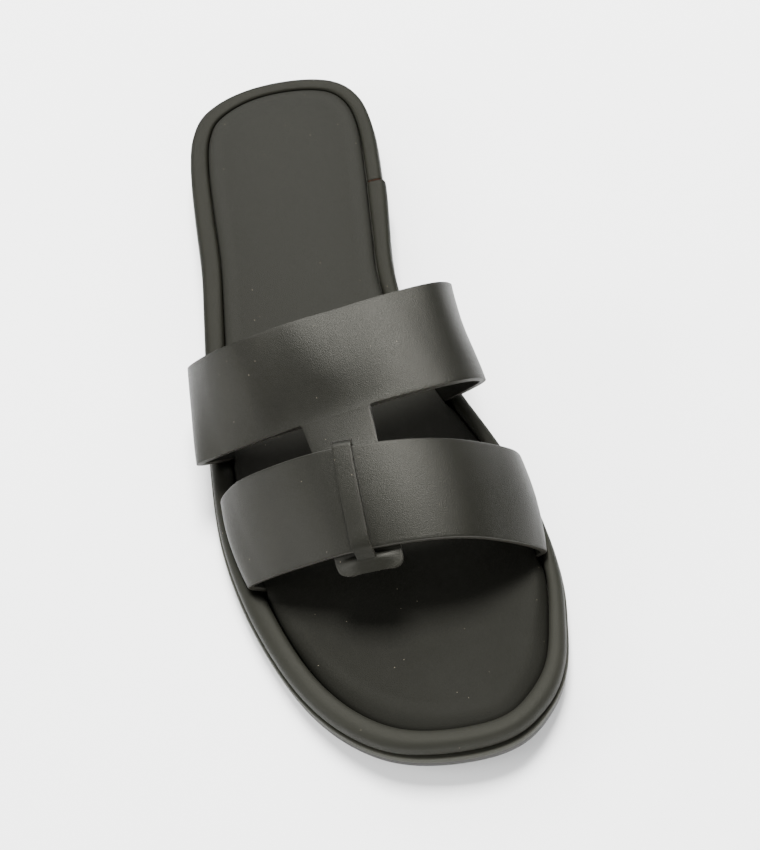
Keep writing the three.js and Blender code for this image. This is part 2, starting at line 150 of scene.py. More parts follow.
def roundSpline(knots, turn):
    full, count = 2 * pi, len(knots)
    at = turn % full
    i = count - 1
    while i > 0 and knots[i][0] > at:
        i -= 1

    def knot(k):
        return knots[k % count][0] + full * (k // count), knots[k % count][1]

    (t0, x0), (t1, x1), (t2, x2), (t3, x3) = knot(i - 1), knot(i), knot(i + 1), knot(i + 2)
    step = t2 - t1
    s = (at - t1) / step
    slopeIn, slopeOut = (x2 - x0) / (t2 - t0), (x3 - x1) / (t3 - t1)
    rest = 1 - s
    return (x1 * (1 + 2 * s) * rest * rest + slopeIn * step * s * rest * rest
            + x2 * s * s * (3 - 2 * s) - slopeOut * step * s * s * rest)


@lru_cache(maxsize=None)
def outlineAt(turn):
    def place(t):
        return Vector((roundSpline(outlineKnots, t), -cos(t) * footbed["length"] / 2))

    step = footbed["turnStep"]
    run = (place(turn + step) - place(turn - step)).normalized()
    return place(turn), Vector((-run.y, run.x)), roundSpline(borderKnots, turn)


def edgePoint(turn, outward=0.0):
    place, normal, border = outlineAt(turn)
    return place + normal * (outward * border if outward > 0 else outward)


def soleRise(y):
    along = y / footbed["length"] + 0.5
    spring = max(0.0, (stack["springEnds"] - along) / stack["springEnds"])
    return (stack["toeSpring"] * spring * spring
            + stack["heelHeight"] * smoothStep(along, stack["archStarts"], stack["heelBreast"]))


midsoleBase = stack["outsoleThickness"] + stack["seatGap"]
deckHeight = midsoleBase + stack["midsoleThickness"]


def deckAt(y):
    return soleRise(y) + deckHeight


soleEdge = {"rimCrevice": 0.6, "rimWidth": 5.5, "bandLip": 0.7, "outsoleInset": 0.4}
bandOuter = soleEdge["rimCrevice"] + soleEdge["rimWidth"] + soleEdge["bandLip"]
outsoleOuter = bandOuter - soleEdge["outsoleInset"]

# The footbed's own middle in the frame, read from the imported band
bandLow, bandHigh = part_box("midsole")
ringSteps = 720
ringEdge = [edgePoint(2 * pi * i / ringSteps, bandOuter) for i in range(ringSteps)]


# Middle of a span in metres, less the middle of the outline's own span in millimetres
def middleOf(low, high, values):
    return (low + high) * 500 - (min(values) + max(values)) / 2


middle = Vector((
    middleOf(bandLow.x, bandHigh.x, [p.x for p in ringEdge]),
    middleOf(bandLow.y, bandHigh.y, [p.y for p in ringEdge]),
    0.0,
))
print("footbed middle", [round(x, 3) for x in middle])


def onMetres(place):
    return (Vector(place) + middle) * 0.001


# Straps: stations of their roots, forward lean, rise, and the arch between the roots
strapWall = 1.9
strapClearance = 0.3
rootPlay = 0.05
rootInset = strapWall / 2 + strapClearance - (soleEdge["rimCrevice"] - strapClearance) + rootPlay
rootHeight = 2.7
# where a strap turns in under the footbed: further in than its root, and height over its lowest place
lastingMargin = [(9, 0), (4, 0), (1.1, 0.15)]
# share of a strap's rise over which its middle takes up the belly
bellyFrom, bellyTo = 0.05, 0.6
strapSteps = 14
toeStrap = {
    "front": {"outerRoot": 0.247, "innerRoot": 0.185, "lean": 0.22, "rise": 28},
    "back": {"outerRoot": 0.382, "innerRoot": 0.318, "lean": 0.245, "rise": 33.9},
    # across and up along the front edge, then along the back edge
    "arch": [
        (-0.055, 0.17, -0.07, 0.14),
        (0.025, 0.4, -0.018, 0.36),
        (0.161, 0.64, 0.115, 0.64),
        (0.337, 0.887, 0.335, 0.92),
        (0.575, 1, 0.6, 1),
        (0.753, 0.905, 0.804, 0.897),
        (0.88, 0.66, 0.966, 0.659),
        (0.99, 0.33, 1.075, 0.39),
        (1.027, 0.13, 1.09, 0.15),
    ],
    "belly": 0.6,
    # the back edge comes down further forward on the outer side
    "outerTurnIn": 3.4,
    "turnInHeight": 17,
}
instepStrap = {
    "front": {"outerRoot": 0.437, "innerRoot": 0.43, "lean": 0.5, "rise": 33.6},
    "back": {"outerRoot": 0.574, "innerRoot": 0.574, "lean": 0.55, "rise": 35.8},
    "arch": [
        (-0.17, 0.28, -0.23, 0.27),
        (-0.035, 0.5, -0.155, 0.59),
        (0.156, 0.686, 0.04, 0.85),
        (0.4, 0.865, 0.33, 0.955),
        (0.722, 1, 0.65, 1),
        (1, 0.96, 1.04, 0.98),
        (1.12, 0.82, 1.27, 0.87),
        (1.165, 0.62, 1.36, 0.55),
        (1.09, 0.3, 1.24, 0.25),
    ],
    "belly": 0.6,
    "outerTurnIn": 0,
    "turnInHeight": 17,
}


# Centripetal curve through the points, as a fine line with the length along it
def smoothLine(points, steps):
    line = []
    padded = [points[0] * 2 - points[1]] + list(points) + [points[-1] * 2 - points[-2]]
    for i in range(1, len(padded) - 2):
        p0, p1, p2, p3 = padded[i - 1:i + 3]
        d0, d1, d2 = (max((a - b).length ** 0.5, 1e-4) for a, b in ((p0, p1), (p1, p2), (p2, p3)))
        in1 = ((p1 - p0) / d0 - (p2 - p0) / (d0 + d1) + (p2 - p1) / d1) * d1
        in2 = ((p2 - p1) / d1 - (p3 - p1) / (d1 + d2) + (p3 - p2) / d2) * d1
        for k in range(steps):
            t = k / steps
            line.append(p1 * (2 * t ** 3 - 3 * t * t + 1) + in1 * (t ** 3 - 2 * t * t + t)
                        + p2 * (3 * t * t - 2 * t ** 3) + in2 * (t ** 3 - t * t))
    line.append(padded[-2])
    reach = [0.0]
    for a, b in zip(line, line[1:]):
        reach.append(reach[-1] + (b - a).length)
    return line, reach


def alongLine(line, reach, share):
    want = clamp(share) * reach[-1]
    low, high = 0, len(reach) - 1
    while high - low > 1:
        half = (low + high) // 2
        if reach[half] > want:
            high = half
        else:
            low = half
    return line[low].lerp(line[high], clamp((want - reach[low]) / max(reach[high] - reach[low], 1e-9)))


def rootPoint(outer, along, inward, up):
    turn = turnAt(along) if outer else 2 * pi - turnAt(along)
    p = edgePoint(turn, -inward)
    return Vector((p.x, p.y, deckAt(p.y) + up))


strapLines = {}


# Middle line of a strap at share v of its width: up from under the footbed, over, and down again
def strapLine(strap, v):
    key = (id(strap), round(v, 5))
    if key in strapLines:
        return strapLines[key]
    front, back = strap["front"], strap["back"]
    outer = mix(front["outerRoot"], back["outerRoot"], v)
    inner = mix(front["innerRoot"], back["innerRoot"], v)
    start = rootPoint(True, outer, rootInset, rootHeight)
    end = rootPoint(False, inner, rootInset, rootHeight)

    def edgeArch(edge, across, up):
        rise = up * edge["rise"]
        return Vector((mix(start.x, end.x, across),
                       mix(start.y, end.y, across) - edge["lean"] * rise,
                       mix(start.z, end.z, clamp(across)) + rise))

    arch = [edgeArch(front, r[0], r[1]).lerp(edgeArch(back, r[2], r[3]), v) for r in strap["arch"]]
    low = stack["seatGap"] + strapWall / 2

    def tuck(outerSide, along):
        return [rootPoint(outerSide, along, rootInset + further, low + up)
                for further, up in lastingMargin]

    points = tuck(True, outer) + [start] + arch + [end] + tuck(False, inner)[::-1]
    line, reach = smoothLine(points, strapSteps)
    rise = strap["belly"] * 4 * clamp(v) * (1 - clamp(v))
    top = max(p.z for p in line)
    for p in line:
        p.z += rise * smoothStep(p.z, mix(start.z, top, bellyFrom), mix(start.z, top, bellyTo))
        if p.x < (start.x + end.x) / 2:
            p.y -= strap["outerTurnIn"] * v * (1 - smoothStep(p.z - start.z, 0, strap["turnInHeight"]))
    strapLines[key] = (line, reach, start, end)
    return strapLines[key]


# Share of the strap's own length at which it crosses a given share of the span, where it is higher
# than a third of its rise
def shareAcross(strap, across, v):
    line, reach, start, end = strapLine(strap, v)
    x = mix(start.x, end.x, across)
    for i in range(len(line) - 1):
        if line[i].z > start.z + strap["front"]["rise"] / 3 and line[i].x <= x < line[i + 1].x:
            part = (x - line[i].x) / (line[i + 1].x - line[i].x)
            return mix(reach[i], reach[i + 1], part) / reach[-1]
    return 0.5


def onStrap(strap, across, v):
    line, reach = strapLine(strap, v)[:2]
    return alongLine(line, reach, shareAcross(strap, across, v))


def spanOf(strap):
    start, end = strapLine(strap, 0)[2:]
    return end.x - start.x


def widthOf(strap):
    return (strap["back"]["outerRoot"] - strap["front"]["outerRoot"]) * footbed["length"]


# Mesh helpers: a ring of vertices knows its turn round the outline, its place round a section,
# or its column across the keeper
def ringFrom(bm, steps, key, place):
    made = bmesh.ops.create_circle(bm, segments=steps, radius=1)
    for v in made["verts"]:
        v[key] = atan2(-v.co.x, -v.co.y) % (2 * pi)
        v.co = place(v[key])
    return [e for e in bm.edges if e.is_wire or e.is_boundary]


def growRing(bm, edges, key, place):
    made = bmesh.ops.extrude_edge_only(bm, edges=edges)["geom"]
    fresh = {g for g in made if isinstance(g, bmesh.types.BMVert)}
    for v in fresh:
        v.co = place(v[key])
    return [g for g in made if isinstance(g, bmesh.types.BMEdge) and set(g.verts) <= fresh]


def growRows(bm, edges, key, places):
    for place in places:
        edges = growRing(bm, edges, key, place)
    return edges


def pieceFrom(name, bm, materials, cadNode, merged=True):
    if merged:
        bmesh.ops.remove_doubles(bm, verts=bm.verts, dist=2e-6)
    bmesh.ops.recalc_face_normals(bm, faces=bm.faces)
    for face in bm.faces:
        face.smooth = True
    mesh = bpy.data.meshes.new(name)
    bm.to_mesh(mesh)
    bm.free()
    piece = bpy.data.objects.new(name, mesh)
    bpy.context.scene.collection.objects.link(piece)
    for material in materials:
        mesh.materials.append(material)
    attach(piece, "root")
    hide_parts(cadNode)
    return piece


# Materials
def paint(hexColour):
    parts = [int(hexColour[i:i + 2], 16) / 255 for i in (1, 3, 5)]
    return [c / 12.92 if c <= 0.04045 else ((c + 0.055) / 1.055) ** 2.4 for c in parts] + [1.0]


# Adds a node; an input is a value, or the output socket that feeds it
def add(tree, kind, settings=None, inputs=None):
    node = tree.nodes.new("ShaderNode" + kind)
    for name, value in (settings or {}).items():
        setattr(node, name, value)
    for name, value in (inputs or {}).items():
        if isinstance(value, bpy.types.NodeSocket):
            tree.links.new(value, node.inputs[name])
        else:
            node.inputs[name].default_value = value
    return node


def newMaterial(name):
    material = bpy.data.materials.new(name)
    material.use_nodes = True
    tree = material.node_tree
    tree.nodes.clear()
    return material, tree


def finishFrom(tree, colour, roughness, normal, look):
    skin = add(tree, "BsdfPrincipled", inputs={
        "Base Color": colour, "Roughness": roughness, "IOR": look["ior"],
        "Specular IOR Level": look["gloss"], "Specular Tint": look.get("tint", (1, 1, 1, 1)),
        "Normal": normal})
    out = add(tree, "OutputMaterial")
    tree.links.new(skin.outputs["BSDF"], out.inputs["Surface"])


def twoTones(tree, share, dark, light, low, high):
    ramp = add(tree, "ValToRGB", inputs={"Fac": share})
    first, last = ramp.color_ramp.elements
    first.position, first.color = low, paint(dark)
    last.position, last.color = high, paint(light)
    return ramp.outputs["Color"]


# Split leather with a printed polyurethane skin: satin, with a fine even pebble that breaks up
# the highlights, and pale dust caught in the pores
def coatedHide(name, dark, light, roughness, look):
    material, tree = newMaterial(name)
    place = add(tree, "TexCoord").outputs["Object"]
    cloud = add(tree, "TexNoise", inputs={"Vector": place, "Scale": 28, "Detail": 4, "Roughness": 0.6})
    pebble = add(tree, "TexVoronoi", {"feature": "SMOOTH_F1"}, {
        "Vector": place, "Scale": 1000 / look["pebble"], "Smoothness": 0.6, "Randomness": 0.95})
    fine = add(tree, "TexNoise", inputs={
        "Vector": place, "Scale": 1000 / look["fine"], "Detail": 3, "Roughness": 0.7})
    relief = add(tree, "Math", {"operation": "MULTIPLY_ADD"},
                 {0: fine.outputs["Fac"], 1: 0.8, 2: pebble.outputs["Distance"]}).outputs[0]
    tone = twoTones(tree, cloud.outputs["Fac"], dark, light, 0.3, 0.72)
    if "paintedLight" in look:
        # painted light: over this stretch of the shoe's length the colour turns to a second, paler one;
        # on the footbed this paints shade at the toe, on the rim a highlight on its roll at the toe
        along = add(tree, "SeparateXYZ", inputs={"Vector": place}).outputs["Y"]
        first, last = look["paintedLightOver"]
        paintedLight = add(tree, "MapRange", inputs={"Value": along, "From Min": first, "From Max": last})
        tone = add(tree, "Mix", {"data_type": "RGBA"},
                   {0: paintedLight.outputs["Result"], 6: tone, 7: paint(look["paintedLight"])}).outputs[2]
    # rare specks of dust, about 0.2 mm across
    speck = add(tree, "TexVoronoi", {"feature": "F1"},
                {"Vector": place, "Scale": 1000 / look["dustSpacing"], "Randomness": 1})
    near = add(tree, "Math", {"operation": "LESS_THAN"},
               {0: speck.outputs["Distance"], 1: look["dustSize"]})
    pick = add(tree, "SeparateColor", inputs={"Color": speck.outputs["Color"]})
    some = add(tree, "Math", {"operation": "GREATER_THAN"},
               {0: pick.outputs["Red"], 1: 1 - look["dustShare"]})
    both = add(tree, "Math", {"operation": "MULTIPLY"}, {0: near.outputs[0], 1: some.outputs[0]})
    faint = add(tree, "Math", {"operation": "MULTIPLY"}, {0: both.outputs[0], 1: look["dustStrength"]})
    colour = add(tree, "Mix", {"data_type": "RGBA"}, {0: faint.outputs[0], 6: tone, 7: paint("#a39a86")})
    uneven = add(tree, "MapRange", inputs={"Value": relief, "From Min": 0.2, "From Max": 1.2,
                                           "To Min": roughness - 0.06, "To Max": roughness + 0.1})
    raised = add(tree, "Bump", inputs={
        "Height": relief, "Strength": look["relief"], "Distance": 0.00012})
    finishFrom(tree, colour.outputs[2], uneven.outputs["Result"], raised.outputs["Normal"], look)
    return material


# Dense finish with a fine uneven surface: moulded rubber, painted cut edges, raw split leather
def plainFinish(name, dark, light, roughness, look):
    material, tree = newMaterial(name)
    place = add(tree, "TexCoord").outputs["Object"]
    cloud = add(tree, "TexNoise", inputs={
        "Vector": place, "Scale": look["scale"], "Detail": 6, "Roughness": 0.65})
    tone = twoTones(tree, cloud.outputs["Fac"], dark, light, 0.35, 0.7)
    raised = add(tree, "Bump", inputs={
        "Height": cloud.outputs["Fac"], "Strength": look["relief"], "Distance": look["depth"]})
    finishFrom(tree, tone, roughness, raised.outputs["Normal"], look)
    return material


# Lengths in metres; the wave texture multiplies its own scale by waveFactor
treadRibs = {"spacing": 0.003, "waveLength": 0.005, "waveSlope": 0.5, "depth": 0.0006, "waveFactor": 20}


# Moulded rubber with fine ribs across the sole, 3 mm apart, that run in shallow waves
def treadRubber():
    s = treadRibs
    material, tree = newMaterial("moulded rubber tread")
    place = add(tree, "TexCoord").outputs["Object"]
    axes = add(tree, "SeparateXYZ", inputs={"Vector": place})
    wave = add(tree, "Math", {"operation": "PINGPONG"}, {0: axes.outputs["X"], 1: s["waveLength"]})
    shifted = add(tree, "Math", {"operation": "MULTIPLY_ADD"},
                  {0: wave.outputs[0], 1: s["waveSlope"], 2: axes.outputs["Y"]})
    bent = add(tree, "CombineXYZ", inputs={
        "X": axes.outputs["X"], "Y": shifted.outputs[0], "Z": axes.outputs["Z"]})
    scale = 2 * pi / s["waveFactor"] / s["spacing"]
    ribs = add(tree, "TexWave", {"wave_type": "BANDS", "bands_direction": "Y", "wave_profile": "SIN"},
               {"Vector": bent.outputs[0], "Scale": scale, "Distortion": 0, "Detail": 0})
    cut = add(tree, "MapRange", inputs={"Value": ribs.outputs["Fac"], "From Min": 0.2, "From Max": 0.5})
    tone = twoTones(tree, cut.outputs["Result"], "#100f0e", "#1c1b19", 0, 1)
    raised = add(tree, "Bump", inputs={
        "Height": cut.outputs["Result"], "Strength": 0.8, "Distance": s["depth"]})
    finishFrom(tree, tone, 0.66, raised.outputs["Normal"], {"ior": 1.5, "gloss": 0.4})
    return material


hide = {"pebble": 0.24, "fine": 0.15, "relief": 0.42, "ior": 1.48, "gloss": 0.12,
        "tint": (1, 0.98, 0.88, 1),
        "dustSpacing": 3.4, "dustSize": 0.034, "dustShare": 0.6, "dustStrength": 0.34}
strapSkin = dict(hide, gloss=0.14)
# footbed darker at the toe, paler towards the heel: painted shade at the toe where the straps shadow it,
# and painted sheen towards the heel
footbedSkin = dict(hide, gloss=0.045, paintedLight="#171714", paintedLightOver=(-0.07, 0.01))
# rim paler towards the toe: painted highlight on its roll there
rimSkin = dict(hide, gloss=0.07, paintedLight="#1b1b17", paintedLightOver=(0.01, -0.1))
edgePaint = {"scale": 900, "relief": 0.4, "depth": 0.00015, "ior": 1.5, "gloss": 0.22}
rawSplit = {"scale": 700, "relief": 0.6, "depth": 0.0002, "ior": 1.4, "gloss": 0.3}
rubberSkin = {"scale": 500, "relief": 0.35, "depth": 0.0002, "ior": 1.5, "gloss": 0.4}
paperSweep = {"scale": 6, "relief": 0.02, "depth": 0.0002, "ior": 1.45, "gloss": 0.2}
strapHide = coatedHide("coated split leather, strap", "#0b0b08", "#0f0f0b", 0.37, strapSkin)
footbedHide = coatedHide("coated split leather, footbed", "#0f0f0c", "#131310", 0.5, footbedSkin)
rimHide = coatedHide("coated split leather, rim roll", "#0d0d09", "#11110c", 0.5, rimSkin)
bandHide = coatedHide("coated split leather, midsole band", "#25251f", "#2a2a25", 0.48, hide)
# edge paint, a little lighter than the hide: partly the paint's own tone, partly painted highlight for
# the light the rounded cut edges catch
cutEdge = plainFinish("edge paint on cut leather, partly painted highlight", "#1a1915", "#22211b", 0.55, edgePaint)
rawEdge = plainFinish("raw split leather and dried glue", "#241a14", "#4a3020", 0.8, rawSplit)
soleRubber = plainFinish("compression moulded rubber", "#161513", "#1d1c1a", 0.62, rubberSkin)
sweep = plainFinish("matt white paper sweep", "#ececeb", "#f0f0ef", 0.9, paperSweep)
tread = treadRubber()
print("materials made")


def soleRow(outward, up):
    def place(turn):
        p = edgePoint(turn, outward)
        return onMetres((p.x, p.y, soleRise(p.y) + up))
    return place


spineEnds = 0.5  # turn, in radians, at which the middle line of the sole begins and ends


# Ring drawn in towards the long middle line of the sole; at share 0 its two sides meet
def nestedRow(turnPlace, share, up, shrink=0.95):
    def place(turn):
        p = turnPlace(turn)
        held = clamp(min(turn, 2 * pi - turn), spineEnds, pi - spineEnds)
        spine = (turnPlace(held) + turnPlace(2 * pi - held)) / 2
        x = mix(spine.x, p.x, share)
        y = mix(spine.y * shrink, p.y, share)
        return onMetres((x, y, soleRise(y) + up))
    return place


# Outsole: a thin moulded rubber sheet with a bordering groove and fine ribs underneath
outsoleShape = {
    "bevel": 0.5,
    "topBevel": 0.3,
    # how far the middle of the rounded lower edge lies in from both its sides
    "edgeCorner": 0.15,
    "ledge": 4.2,
    "grooveWidth": 1.1,
    "grooveSlope": 0.2,
    "grooveDepth": 0.5,
    "nested": [0.82, 0.6, 0.38, 0.18, 0],
}


def makeOutsole():
    bm = bmesh.new()
    turn = bm.verts.layers.float.new("turn")
    s = outsoleShape
    thick, bevel, corner = stack["outsoleThickness"], s["bevel"], s["edgeCorner"]
    topInner = outsoleOuter - s["topBevel"]
    groove = outsoleOuter - s["ledge"]
    grooveInner = groove - s["grooveWidth"]
    treadOuter = grooveInner - s["grooveSlope"]
    rows = [(topInner, thick), (outsoleOuter, thick - s["topBevel"]),
            (outsoleOuter, (bevel + thick) / 2), (outsoleOuter, bevel),
            (outsoleOuter - corner, corner), (outsoleOuter - bevel, 0),
            (groove, 0), (groove - s["grooveSlope"], s["grooveDepth"]),
            (grooveInner, s["grooveDepth"]), (treadOuter, 0)]
    top = ringFrom(bm, footbed["outlineSteps"], turn, soleRow(*rows[0]))
    edges = growRows(bm, top, turn, [soleRow(*r) for r in rows[1:]])
    sideFaces = set(bm.faces)

    def nested(outer, up):
        return [nestedRow(lambda t: edgePoint(t, outer), share, up) for share in s["nested"]]

    growRows(bm, edges, turn, nested(treadOuter, 0))
    treadFaces = [f for f in bm.faces if f not in sideFaces]
    growRows(bm, top, turn, nested(topInner, thick))
    for face in treadFaces:
        face.material_index = 1
    pieceFrom("outsole_sheet", bm, [soleRubber, tread], "outsole")


makeOutsole()
print("outsole made")

# Heel: a low rubber lift with a straight breast and sides that taper to the floor
heelShape = {
    "taper": 1.2,
    "bevel": 0.5,
    "steps": 300,
    # insets at the top, a little below it and halfway down
    "topInset": 0.5,
    "topBevel": 0.3,
    "waist": 0.7,
    "edgeCorner": 0.15,
    "ledge": 3.6,
    "grooveWidth": 1.1,
    "grooveSlope": 0.2,
    "grooveDepth": 0.5,
}


def makeHeel():
    bm = bmesh.new()
    turn = bm.verts.layers.float.new("turn")
    breast = (stack["heelBreast"] - 0.5) * footbed["length"]
    start = turnAt(stack["heelBreast"])
    height = stack["heelHeight"] - stack["seatGap"]
    s = heelShape

    def row(inset, up):
        front = breast + max(0.0, inset - s["taper"])

        def place(t):
            outward = outsoleOuter - inset
            if start <= t <= 2 * pi - start:
                p = edgePoint(t, outward)
            else:
                part = ((t + start) % (2 * pi)) / (2 * start)
                p = edgePoint(2 * pi - start, outward).lerp(edgePoint(start, outward), part)
                p.y = front
            return onMetres((p.x, max(p.y, front), up))
        return place

    taper, bevel, corner = s["taper"], s["bevel"], s["edgeCorner"]
    groove = taper + s["ledge"]
    grooveInner = groove + s["grooveWidth"]
    rows = [(s["topInset"], height), (s["topBevel"], height - s["topBevel"]), (s["waist"], height / 2),
            (taper, bevel), (taper + corner, corner), (taper + bevel, 0),
            (groove, 0), (groove + s["grooveSlope"], s["grooveDepth"]),
            (grooveInner, s["grooveDepth"]), (grooveInner + s["grooveSlope"], 0)]
    edges = ringFrom(bm, s["steps"], turn, row(*rows[0]))
    bmesh.ops.contextual_create(bm, geom=edges)
    edges = growRows(bm, edges, turn, [row(*r) for r in rows[1:]])
    for face in bmesh.ops.contextual_create(bm, geom=edges)["faces"]:
        face.material_index = 1
    pieceFrom("heel_lift", bm, [soleRubber, tread], "heel")


makeHeel()
print("heel made")

# Midsole band: a wrapped board edge with rounded corners, standing a little open over the outsole at
# the inner side of the toe
bandShape = {
    "round": 0.5,
    "bulge": 0.1,
    "wrap": 1.6,
    "toeGap": 0.7,
    "gapFrom": 0.035,
    "gapTo": 0.085,
    "gapSoft": 0.05,
    "cornerSteps": 6,
    "nested": [0.5, 0],
}


def makeBand():
    bm = bmesh.new()
    turn = bm.verts.layers.float.new("turn")
    s = bandShape
    thick = stack["midsoleThickness"]

    def row(outward, up):
        def place(t):
            p = edgePoint(t, outward)
            gap = s["toeGap"] * bump(alongAt(t), s["gapFrom"], s["gapTo"], s["gapSoft"]) if t > pi else 0
            lift = gap * (1 - up / thick)
            return onMetres((p.x, p.y, soleRise(p.y) + midsoleBase + up + lift))
        return place

    wrapEnd = bandOuter - s["wrap"]
    corner = [pi / 2 * i / s["cornerSteps"] for i in range(s["cornerSteps"] + 1)]
    rows = [(wrapEnd, 0)]
    rows += [(bandOuter - s["round"] * (1 - sin(a)), s["round"] * (1 - cos(a))) for a in corner]
    rows.append((bandOuter + s["bulge"], thick / 2))
    rows += [(bandOuter - s["round"] * (1 - cos(a)), thick - s["round"] * (1 - sin(a))) for a in corner]
    rows.append((wrapEnd, thick))
    bottom = ringFrom(bm, footbed["outlineSteps"], turn, row(*rows[0]))
    top = growRows(bm, bottom, turn, [row(*r) for r in rows[1:]])

    def inner(t):
        return edgePoint(t, wrapEnd)

    for share in s["nested"]:
        top = growRing(bm, top, turn, nestedRow(inner, share, midsoleBase + thick))
        bottom = growRing(bm, bottom, turn, nestedRow(inner, share, midsoleBase))
    pieceFrom("midsole_band", bm, [bandHide], "midsole")


makeBand()
print("midsole band made")

# Toe strap: one even strip of hide, cut edges painted
strapMesh = {"columns": 150, "rows": 30, "edgeRound": 0.42, "edgeSegments": 3, "edgeAngle": 50}


def strapFinish(piece, thin=None):
    wall = piece.modifiers.new("wall", "SOLIDIFY")
    wall.thickness, wall.offset = strapWall * 0.001, 0
    wall.use_even_offset = True
    wall.material_offset_rim = 1
    if thin is not None:
        wall.vertex_group, wall.thickness_vertex_group = thin, keeper["thin"]
    cut = piece.modifiers.new("cut edges", "BEVEL")
    cut.width, cut.segments = strapMesh["edgeRound"] * 0.001, strapMesh["edgeSegments"]
    cut.limit_method, cut.angle_limit = "ANGLE", radians(strapMesh["edgeAngle"])
    cut.profile = 0.5


def makeToeStrap():
    bm = bmesh.new()
    columns, rows = strapMesh["columns"], strapMesh["rows"]
    for v in bmesh.ops.create_grid(bm, x_segments=columns, y_segments=rows, size=1)["verts"]:
        u, w = (v.co.x + 1) / 2, (v.co.y + 1) / 2
        line, reach = strapLine(toeStrap, w)[:2]
        v.co = onMetres(alongLine(line, reach, u))
    piece = pieceFrom("toe_strap", bm, [strapHide, cutEdge], "upper")
    strapFinish(piece)
    return piece


toeStrapPiece = makeToeStrap()
print("toe strap made")

# Instep strap with its keeper in one cut: a wide tab runs under the toe strap and ends in a rounded
# head, and the narrow strip between two slits passes over it
keeper = {
    "tabWidth": 20,
    "fillet": 0.9,
    # middle of the fillet, across and forward as shares of its radius
    "filletMiddle": (0.3, 0.35),
    "headWidth": 18.2,
    "headReach": 6.5,
    "headCorner": 3.2,
    "headBegins": 2.6,
    # the head's rounded corner: back from its tip and in from its side, in corner radii, and the
    # share of the pull there
    "headRound": [(0.5, 0.13, 0.45), (0.13, 0.5, 0.12), (0, 1, 0)],
    # the wall thins to this share of the strap's, over these rows of the tab
    "thin": 0.72,
    "thinFrom": 1,
    "thinTo": 6,
    "columns": 26,
    "stripColumns": (9, 16),
    "slitRows": (6, 14),
    # the strip pulls the middle of the head up by this much, and its sides not at all
    "pull": 1.1,
    "pullMiddle": 0.25,
    "pullSides": 0.95,
    # the strip lies this far to the inner side, over the back edge and the front edge of the toe strap
    "leanBack": 0.8,
    "leanFront": 0.2,
    # the outer edge of the tab runs in by this much on its way down
    "taper": 1.5,
    "outerColumns": 62,
    "innerColumns": 62,
    "tabAcross": 0.479,
    "stripBackAcross": 0.43,
    "stripFrontAcross": 0.385,
    # the toe strap's own direction is taken over these shares of its span and its width
    "directionAcross": 0.06,
    "directionAlong": 0.05,
    # behind the tab the strap dips, so that the hide flows level into the tab
    "dipLength": 8,
    "dipInside": 2,
    "dipSpread": 13,
    "slopeOver": 0.03,
    # a soft ridge runs from behind the tab to the outer end of the back edge
    "ridgeFront": 0.53,
    "ridgeBack": 0.36,
    "ridgeHalf": 9,
    "ridgeHeight": 0.6,
    "ridgeGrows": 0.5,
    # the tab dives under the toe strap's back edge, at this share of the strap's width
    "divesAt": 0.95,
    "tabStations": (0.3, 0.52, 0.7),
    # the strip climbs over that edge: share of the toe strap's width, lift off its middle surface,
    # and share of the way down that the tab has gone there
    "climb": [(1.05, -0.5, 0.8), (1, 2.254, 0.9), (0.95, 2.4255, 1)],
    "crossing": (0.73, 0.5, 0.25, 0.03),
    "landing": (-0.035, 0.55),
    "under": 1.75,
    "over": 2.45,
    "steps": 4,
}


def toeFrame(across, v):
    point = onStrap(toeStrap, across, v)
    aside, along = keeper["directionAcross"], keeper["directionAlong"]
    side = onStrap(toeStrap, across + aside, v) - onStrap(toeStrap, across - aside, v)
    run = onStrap(toeStrap, across, v + along) - onStrap(toeStrap, across, v - along)
    return point, side.cross(run).normalized()


def tabRoot(off):
    return onStrap(instepStrap, keeper["tabAcross"] + off / spanOf(instepStrap), 0)


def onToe(off, v, lift):
    across = mix(keeper["stripFrontAcross"], keeper["stripBackAcross"], v)
    point, normal = toeFrame(across, v)
    return onStrap(toeStrap, across + off / spanOf(toeStrap), v) + normal * lift


# Places of one column of the keeper from the instep strap's front edge to the head's tip
def keeperLine(k, over):
    s = keeper
    share = (k - s["columns"] / 2) / (s["columns"] / 2)
    half, width = s["tabWidth"] / 2, widthOf(toeStrap)
    up, down = s["over"], -s["under"]
    runIn = s["taper"] * (1 - share) / 2
    below = onToe(share * half + runIn, s["divesAt"], down)
    ahead = (below - tabRoot(share * half)).normalized()
    root = tabRoot(share * half) + ahead * s["fillet"]
    aside, forward = s["filletMiddle"]
    points = [tabRoot(share * (half + s["fillet"])),
              tabRoot(share * (half + s["fillet"] * aside)) + ahead * s["fillet"] * forward, root]
    points += [root.lerp(below, part) for part in s["tabStations"]]
    for v, lift, part in s["climb"]:
        lean = mix(s["leanFront"], s["leanBack"], v)
        points.append(onToe(share * half + lean, v, lift) if over else root.lerp(below, part))
    for v, lift in [(v, up) for v in s["crossing"]] + [s["landing"]]:
        off = share * mix(s["headWidth"] / 2, half, clamp(v))
        if over:
            points.append(onToe(off + mix(s["leanFront"], s["leanBack"], clamp(v)), v, lift))
        else:
            points.append(onToe(off + runIn * clamp(v), v, down))
    reach, corner = s["headReach"], s["headCorner"]
    pull = s["pull"] * (1 - smoothStep(abs(share), s["pullMiddle"], s["pullSides"]))
    head = [(s["headBegins"], 0, 1)]
    head += [(reach - corner * back, corner * trim, part) for back, trim, part in s["headRound"]]
    for forward, trim, part in head:
        points.append(onToe(share * (s["headWidth"] / 2 - trim), -forward / width, down + pull * part))
    return points


